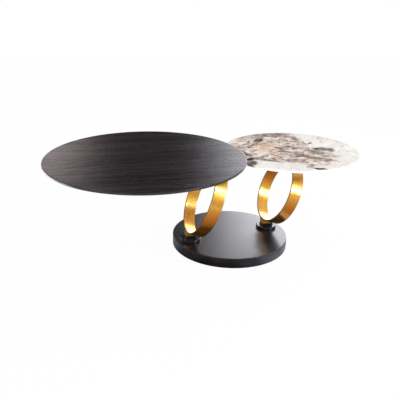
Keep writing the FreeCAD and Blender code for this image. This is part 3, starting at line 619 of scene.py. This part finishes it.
# Each patch in the stone: its middle from the slab's centre and its reach along and across,
# both in millimetres, its turn in degrees, how soft it is, its colour, and how much it hides
PATCHES = [
    ((-40, 238), (90, 30), 18, 0.4, (0.20, 0.15, 0.125), 0.75),
    ((-150, 190), (60, 40), 40, 0.6, (0.50, 0.40, 0.34), 0.5),
    ((-88, 52), (74, 44), 80, 0.7, (0.70, 0.47, 0.32), 0.62),
    ((-108, 156), (46, 15), 61, 0.35, (0.022, 0.017, 0.018), 1.0),
    ((-160, 118), (14, 8), 70, 0.5, (0.09, 0.07, 0.06), 0.9),
    ((-60, 118), (24, 10), -40, 0.5, (0.14, 0.09, 0.065), 0.8),
    ((-46, 28), (24, 11), -60, 0.5, (0.09, 0.07, 0.065), 0.85),
    ((-10, 42), (16, 10), 20, 0.5, (0.10, 0.07, 0.06), 0.8),
    ((-30, -20), (30, 10), -50, 0.5, (0.14, 0.10, 0.08), 0.8),
    ((-190, -55), (30, 13), 110, 0.4, (0.030, 0.020, 0.017), 1.0),
    ((-186, -130), (34, 14), 20, 0.4, (0.020, 0.012, 0.009), 1.0),
    ((-186, -175), (34, 20), 84, 0.4, (0.10, 0.07, 0.055), 0.95),
    ((-110, -150), (52, 10), -20, 0.5, (0.12, 0.08, 0.06), 0.85),
    ((140, 14), (42, 19), -2, 0.4, (0.090, 0.062, 0.052), 1.0),
    ((148, 4), (26, 14), 30, 0.4, (0.13, 0.090, 0.074), 1.0),
    ((166, -6), (15, 24), 0, 0.4, (0.15, 0.105, 0.088), 0.95),
    ((98, -28), (34, 18), 60, 0.5, (0.10, 0.07, 0.058), 0.95),
    ((50, -90), (46, 20), -30, 0.6, (0.12, 0.085, 0.068), 0.8),
    ((100, -130), (50, 20), -24, 0.6, (0.16, 0.11, 0.09), 0.85),
    ((0, -150), (44, 22), -18, 0.6, (0.20, 0.145, 0.12), 0.7),
    ((101, 103), (16, 7), 70, 0.5, (0.14, 0.11, 0.10), 0.9),
    ((157, 130), (14, 6), 60, 0.6, (0.35, 0.31, 0.29), 0.6),
    ((50, 172), (52, 12), 92, 0.6, (0.22, 0.16, 0.145), 0.8),
    ((78, 90), (40, 10), 100, 0.6, (0.24, 0.18, 0.16), 0.75),
    ((-8, 252), (30, 10), 85, 0.5, (0.16, 0.13, 0.13), 0.8),
    ((62, -249), (26, 11), -15, 0.4, (0.045, 0.032, 0.026), 1.0),
    ((36, -215), (26, 13), 70, 0.5, (0.17, 0.12, 0.10), 0.85),
]
# A patch's reach down, which takes it right through the slab
THROUGH = 1000


def patch(where, middle, reach, degrees, softness):
    """A share that is one inside an ellipse on the slab and fades past its edge."""
    centre = (middle[0] * MILLIMETRE, middle[1] * MILLIMETRE, 0)
    unit = (reach[0] * MILLIMETRE, reach[1] * MILLIMETRE, THROUGH)
    inside = placed(where, centre, math.radians(degrees), unit)
    return between(inside.size(), 1 - softness, 1 + softness, 1.0, 0.0)


def warped(where, scale, amount):
    """Coordinates pushed about by a noise, so that what is drawn on them is ragged."""
    push = noise(where, scale, 4, 0.6, output=1)
    centred = where.vector("SUBTRACT", push, (0.5, 0.5, 0.5))
    return where.vector("ADD", where, where.vector("MULTIPLY", centred, (amount,) * 3))


def ramp(share, stops):
    """The colours at stops along a share, and blends of them between."""
    return share.node("ShaderNodeValToRGB", {"stops": stops}, {0: share})


marble, start = new_finish("brecciated_marble")
where = placed(start, slab_centre)
ragged = warped(where, 22, 0.035)
loose = warped(where, 9, 0.09)

cloud = noise(where, 7, 4, 0.55)
milk = noise(loose, 30, 5, 0.6)
cream = blended(spread(cloud), (0.79, 0.755, 0.715), (0.88, 0.855, 0.83))
pale_veins = between(noise(stretched(loose, (9, 26, 9), turn=1.1), 1, 4, 0.6) - 0.5, 0.0, 0.035)
ground = blended(pale_veins * 0.25, cream, (0.52, 0.50, 0.49))

# The crazed side: angular pieces in four tones, with pale lime in the cracks between them
CRAZED = [
    ((-120, 110), (170, 190), 0, 0.16), ((-10, 90), (90, 200), 8, 0.2),
    ((40, -90), (120, 120), -30, 0.22), ((-130, -60), (130, 90), -15, 0.2),
]
crazed = patch(loose, *CRAZED[0])
for middle, reach, degrees, softness in CRAZED[1:]:
    crazed = crazed.most(patch(loose, middle, reach, degrees, softness))
clean = patch(loose, (-85, -238), (130, 72), -14, 0.2)
PIECES_PER_METRE = 52.0
pieces = loose.node("ShaderNodeTexVoronoi", {"feature": "F1"}, {
    "Vector": ragged, "Scale": PIECES_PER_METRE,
}, "Color")
tone = pieces.node("ShaderNodeSeparateColor", {}, {0: pieces})
cracks = loose.node("ShaderNodeTexVoronoi", {"feature": "DISTANCE_TO_EDGE"}, {
    "Vector": ragged, "Scale": PIECES_PER_METRE,
})
mottle = noise(ragged, 48, 5, 0.68)
drift = between(noise(loose, 11, 3), 0.35, 0.65)
shade = tone * 0.36 + between(mottle, 0.34, 0.64) * 0.46 + drift * 0.24 - 0.03
rock = ramp(shade, [
    (0.12, (0.085, 0.050, 0.036)), (0.32, (0.26, 0.175, 0.135)),
    (0.54, (0.54, 0.42, 0.355)), (0.80, (0.86, 0.785, 0.72)),
])
lime = between(cracks, 0.02, 0.12, 0.45, 0.0)
rock = blended(lime, rock, (0.82, 0.77, 0.72))
share = crazed * between(milk, 0.26, 0.46) * (1.0 - clean)
stone = blended(share, ground, rock)
worn = between(milk, 0.30, 0.55, 0.45, 1.0)
for middle, reach, degrees, softness, colour, cover in PATCHES:
    share = patch(ragged, middle, reach, degrees, softness) * worn * cover
    stone = blended(share, stone, colour)
# Hair veins cross all of it
hair = noise(warped(where, 6, 0.16), 5, 3, 0.5) - 0.5
hair_veins = between(hair.number("ABSOLUTE", hair), 0.0, 0.006, 0.5, 0.0)
stone = blended(hair_veins, stone, (0.34, 0.28, 0.25))
close_finish(where, milk * 0.5 - hair_veins, 0.00003, {
    "Base Color": stone,
    "Roughness": spread(milk, 0.34, 0.46) + hair_veins * 0.15,
    "Specular IOR Level": 0.001,
})

slab = turned_mesh([
    (0, SLAB_UNDERSIDE), (SLAB_RADIUS - SLAB_BEVEL_WIDTH - EDGE_RING, SLAB_UNDERSIDE),
    (SLAB_RADIUS - SLAB_BEVEL_WIDTH, SLAB_UNDERSIDE),
    (SLAB_RADIUS, SLAB_UNDERSIDE + SLAB_BEVEL_DROP),
    (SLAB_RADIUS, SLAB_TOP), (SLAB_RADIUS - SLAB_ARRIS - EDGE_RING, SLAB_TOP),
    (SLAB_MID_RING, SLAB_TOP), (0, SLAB_TOP),
], WIDE_STEPS)
round_rim(slab, SLAB_RADIUS, SLAB_TOP, SLAB_ARRIS, segments=3)
round_rim(slab, SLAB_RADIUS, SLAB_UNDERSIDE + SLAB_BEVEL_DROP, SLAB_LOWER_EDGE, segments=2)
finish_piece("stone_top_polished", slab, Matrix.Translation(slab_centre), [marble],
             "small_arm", "stone_slab")

primer, where = new_finish("grey_primed_steel")
roller = noise(where, 500, 3)
close_finish(where, roller, 0.00008, {
    "Base Color": blended(noise(where, 20), (0.74, 0.72, 0.68), (0.82, 0.80, 0.76)),
    "Roughness": spread(roller, 0.50, 0.65),
})
finish_node(primer, "stone_backing_disc")
finish_node(zinc, "mounting_plate_screws")
finish_node(black_powder, "stone_mounting_plate")

# ---------------------------------------------------------------- the studio
# A white floor that runs out to white under a white sky. Screens and cards that only gloss
# sees stand and lie round it, for the black, the gold and the wood to mirror, and a few soft
# lamps light the object.
FLOOR_REACH = 6.0
# The share of the floor that shows as plain white: the rest keeps the shadow
FLOOR_SHOWN = 0.97
SKY_CAST = 0.92
WHITE = (1, 1, 1)


def shown_share(wire):
    """One for what the camera, gloss and glass see, nought for the light that is cast."""
    path = wire.tree.nodes.new("ShaderNodeLightPath")
    share = Wire(wire.tree, path.outputs["Is Camera Ray"])
    for name in ("Is Glossy Ray", "Is Transmission Ray"):
        share = share.most(Wire(wire.tree, path.outputs[name]))
    return share


def close_glow(wire, colour, strength):
    """Ends a finish that only shines."""
    glow = wire.node("ShaderNodeEmission", {}, {"Color": colour, "Strength": strength})
    wire.node("ShaderNodeOutputMaterial", {}, {"Surface": glow})


def panel(name, finish, centre, width, height, facing=None):
    """A flat board or screen that stands in the studio and faces a point, or lies face up."""
    mesh = bmesh.new()
    bmesh.ops.create_grid(mesh, x_segments=1, y_segments=1, size=0.5)
    bmesh.ops.scale(mesh, vec=(width, height, 1), verts=mesh.verts)
    data = bpy.data.meshes.new(name)
    mesh.to_mesh(data)
    mesh.free()
    data.materials.append(finish)
    made = bpy.data.objects.new(name, data)
    made.location = centre
    if facing:
        gaze = Vector(facing) - Vector(centre)
        made.rotation_euler = gaze.to_track_quat("Z", "Y").to_euler()
    bpy.context.scene.collection.objects.link(made)
    return made


def mirrored_panel(*facts):
    """A panel that is seen in gloss alone, and casts neither light nor shadow."""
    made = panel(*facts)
    made.visible_camera = made.visible_diffuse = made.visible_shadow = False


floor_paint, where = new_finish("studio_floor")
lit = where.node("ShaderNodeBsdfDiffuse", {}, {"Color": (0.90, 0.90, 0.90)})
glow = where.node("ShaderNodeEmission", {}, {"Color": WHITE, "Strength": 1.0})
where.node("ShaderNodeOutputMaterial", {}, {
    "Surface": where.node("ShaderNodeMixShader", {}, {
        0: shown_share(where) * FLOOR_SHOWN, 1: lit, 2: glow,
    }),
})
panel("studio_floor", floor_paint, (0, 0, 0), 2 * FLOOR_REACH, 2 * FLOOR_REACH)

world = bpy.data.worlds.new("studio")
bpy.context.scene.world = world
world.use_nodes = True
world.node_tree.nodes.clear()
sky = Wire(world.node_tree)
seen = sky.node("ShaderNodeBackground", {}, {"Color": WHITE, "Strength": 1.0})
cast = sky.node("ShaderNodeBackground", {}, {"Color": WHITE, "Strength": SKY_CAST})
sky.node("ShaderNodeOutputWorld", {}, {
    "Surface": sky.node("ShaderNodeMixShader", {}, {0: shown_share(sky), 1: cast, 2: seen}),
})

# The screen behind glows by the distance along it from its middle: warm at the far left,
# nearly black behind the wood top, and rising to white behind the stone
SCREEN_PLACE = (0, 3.0, 1.5)
SCREEN_AIM = (0, 0, 1.5)
SCREEN_REACH = 3.0
SCREEN_HEIGHT = 3.0
SCREEN_GAIN = 6.0
GLARE = [
    (-1.9, (2.10, 1.80, 1.83)), (-1.45, (2.30, 1.97, 2.00)), (-1.15, (1.05, 0.90, 0.91)),
    (-0.95, (0.32, 0.28, 0.29)), (-0.78, (0.13, 0.11, 0.125)), (-0.20, (0.10, 0.09, 0.10)),
    (-0.02, (0.20, 0.19, 0.20)), (0.12, (0.68, 0.67, 0.70)), (0.24, (1.4, 1.38, 1.44)),
    (0.38, (2.7, 2.65, 2.78)), (0.60, (3.9, 3.85, 4.0)), (0.95, (4.5, 4.45, 4.6)),
    (1.5, (4.9, 4.9, 4.9)),
]
lamp_screen, where = new_finish("graded_lamp_screen")
across, up = where.part(0), where.part(1)
along = between(across, -SCREEN_REACH, SCREEN_REACH, way="LINEAR")
glare = ramp(along, [
    ((off + SCREEN_REACH) / (2 * SCREEN_REACH), tuple(part / SCREEN_GAIN for part in colour))
    for off, colour in GLARE
])
# It goes dark below on its left, and dimmer above all along
lit_below = between(up, -0.85, -0.35, 0.03, 1.0).most(between(across, -0.6, 0.0))
dimmed_above = between(up, -0.15, 0.35, 1.0, 0.62)
close_glow(where, glare, dimmed_above * lit_below * SCREEN_GAIN)
mirrored_panel("back_lamp_screen", lamp_screen, SCREEN_PLACE, 2 * SCREEN_REACH, SCREEN_HEIGHT,
               SCREEN_AIM)

# A card that glows, seen only in gloss, lies round the base in place of the floor. It is painted
# darker towards the base, a painted shadow for the base's side and the feet of the hoops to
# mirror, and warm brown further out, a painted reflection, with painted pale and dark spots on
# it: middle, reach and colour
CARD_WIDTH = 2.4
CARD_LIFT = 0.001
SPOT_CORE = 0.45
SHADE_AND_LIGHT_SPOTS = [
    ((0.09, -0.26), 0.10, (0.31, 0.295, 0.36)),
    ((-0.02, -0.240), 0.085, (0.040, 0.038, 0.055)),
    ((-0.12, -0.210), 0.085, (0.030, 0.030, 0.040)),
    ((0.245, -0.085), 0.07, (0.60, 0.57, 0.64)),
    ((0.20, -0.20), 0.10, (0.80, 0.77, 0.90)),
    ((-0.28, -0.14), 0.15, (0.115, 0.115, 0.145)),
    ((-0.31, -0.01), 0.13, (0.26, 0.26, 0.32)),
]
painted_shade_card, where = new_finish("brown_card")
far = where.size()
# Painted shadow near the base, turning to a painted warm reflection further out
shade = ramp(far, [
    (0.25, (0.24, 0.155, 0.16)), (0.32, (0.38, 0.195, 0.155)), (0.42, (0.51, 0.31, 0.24)),
    (0.60, (0.62, 0.49, 0.43)), (0.90, (0.70, 0.61, 0.56)), (1.0, (0.74, 0.67, 0.63)),
])
# Each spot is a painted reflection, pale or dark
for middle, reach, colour in SHADE_AND_LIGHT_SPOTS:
    off = where.vector("SUBTRACT", where, (*middle, 0)).size()
    shade = blended(between(off, reach * SPOT_CORE, reach, 1.0, 0.0), shade, colour)
close_glow(where, shade, 1.0)
mirrored_panel("brown_card", painted_shade_card, (0, 0, CARD_LIFT), CARD_WIDTH, CARD_WIDTH)

# A dark cloth lies behind on the left, where the narrow edges of the hoops look, and a bright
# card far out on the left, which draws the light line on the wood top's rim
flag_cloth, where = new_finish("flag_cloth")
weave = noise(where, 300)
close_finish(where, weave, 0.001, {
    "Base Color": blended(weave, (0.010, 0.010, 0.011), (0.014, 0.014, 0.015)),
    "Roughness": 0.95,
})
mirrored_panel("dark_edge_card", flag_cloth, (-1.2, 1.6, 2 * CARD_LIFT), 1.8, 2.6)
rim_paper, where = new_finish("rim_card")
close_glow(where, WHITE, 4.5)
mirrored_panel("rim_card", rim_paper, (-1.85, 0.25, 2 * CARD_LIFT), 1.1, 1.6)

# A screen in front goes from warm dusk at the floor to white above
FRONT_PLACE = (1.5, -4.0, 1.5)
FRONT_AIM = (1.5, 0, 1.5)
FRONT_WIDTH = 7.0
FRONT_HEIGHT = 3.0
front_cloth, where = new_finish("front_screen")
rise = between(where.part(1), -FRONT_HEIGHT / 2, FRONT_HEIGHT / 2, way="LINEAR")
dusk = ramp(rise, [
    (0.0, (0.60, 0.54, 0.47)), (0.22, (0.60, 0.54, 0.46)), (0.42, (0.78, 0.74, 0.68)),
    (0.66, (0.95, 0.95, 0.95)), (1.0, WHITE),
])
close_glow(where, dusk, 1.0)
mirrored_panel("front_screen", front_cloth, FRONT_PLACE, FRONT_WIDTH, FRONT_HEIGHT, FRONT_AIM)

# The face of a tall, cool strip lamp on the right draws the bright bands on the gold
STRIP_AIM = (0.0, 0.0, 0.25)
strip_face, where = new_finish("strip_face")
close_glow(where, (0.48, 0.63, 1.0), 22.0)
mirrored_panel("strip_face", strip_face, (4.1, -2.95, 2.28), 0.76, 3.4, STRIP_AIM)

# The lamps: place, what each faces, width, height, and how bright its face is, 1 being white.
# The strip lights from the right, the fills reach in under the tops, and the bounces rise
# from the floor
LAMPS = {
    "front_strip": ((2.0, -1.5, 1.25), STRIP_AIM, 0.38, 1.7, 16.0),
    "under_fill": ((0.5, -1.9, 0.14), (0.05, 0.0, 0.37), 1.6, 0.22, 9.0),
    "under_fill_back": ((1.5, 1.6, 0.14), (0.15, 0.0, 0.37), 1.4, 0.22, 10.0),
    "bounce": ((0.10, 0.50, 0.010), (0.10, 0.50, 1.0), 0.8, 0.5, 1.8),
    "bounce_left": ((-0.42, -0.05, 0.010), (-0.42, -0.05, 1.0), 0.26, 0.5, 10.0),
}
for name, (centre, facing, width, height, radiance) in LAMPS.items():
    lamp = bpy.data.lights.new(name, "AREA")
    lamp.shape = "RECTANGLE"
    lamp.size, lamp.size_y = width, height
    lamp.energy = radiance * math.pi * width * height
    made = bpy.data.objects.new(name, lamp)
    made.location = centre
    made.rotation_euler = (Vector(centre) - Vector(facing)).to_track_quat("Z", "Y").to_euler()
    made.visible_glossy = made.visible_camera = False
    bpy.context.scene.collection.objects.link(made)

CAMERA_PLACE = (-0.236197, -2.117968, 1.037622)
CAMERA_DIP_DEGREES = 22.735
LENS = 49.2874
SENSOR_WIDTH = 36
SHIFT_ACROSS = 0.0656
SHIFT_UP = 0.0241
camera = bpy.data.cameras.new("camera")
camera.lens = LENS
camera.sensor_width = SENSOR_WIDTH
camera.shift_x = SHIFT_ACROSS
camera.shift_y = SHIFT_UP
viewer = bpy.data.objects.new("camera", camera)
viewer.location = CAMERA_PLACE
viewer.rotation_euler = (math.radians(90 - CAMERA_DIP_DEGREES), 0, 0)
bpy.context.scene.collection.objects.link(viewer)
bpy.context.scene.camera = viewer
bpy.context.scene.view_settings.view_transform = "Standard"
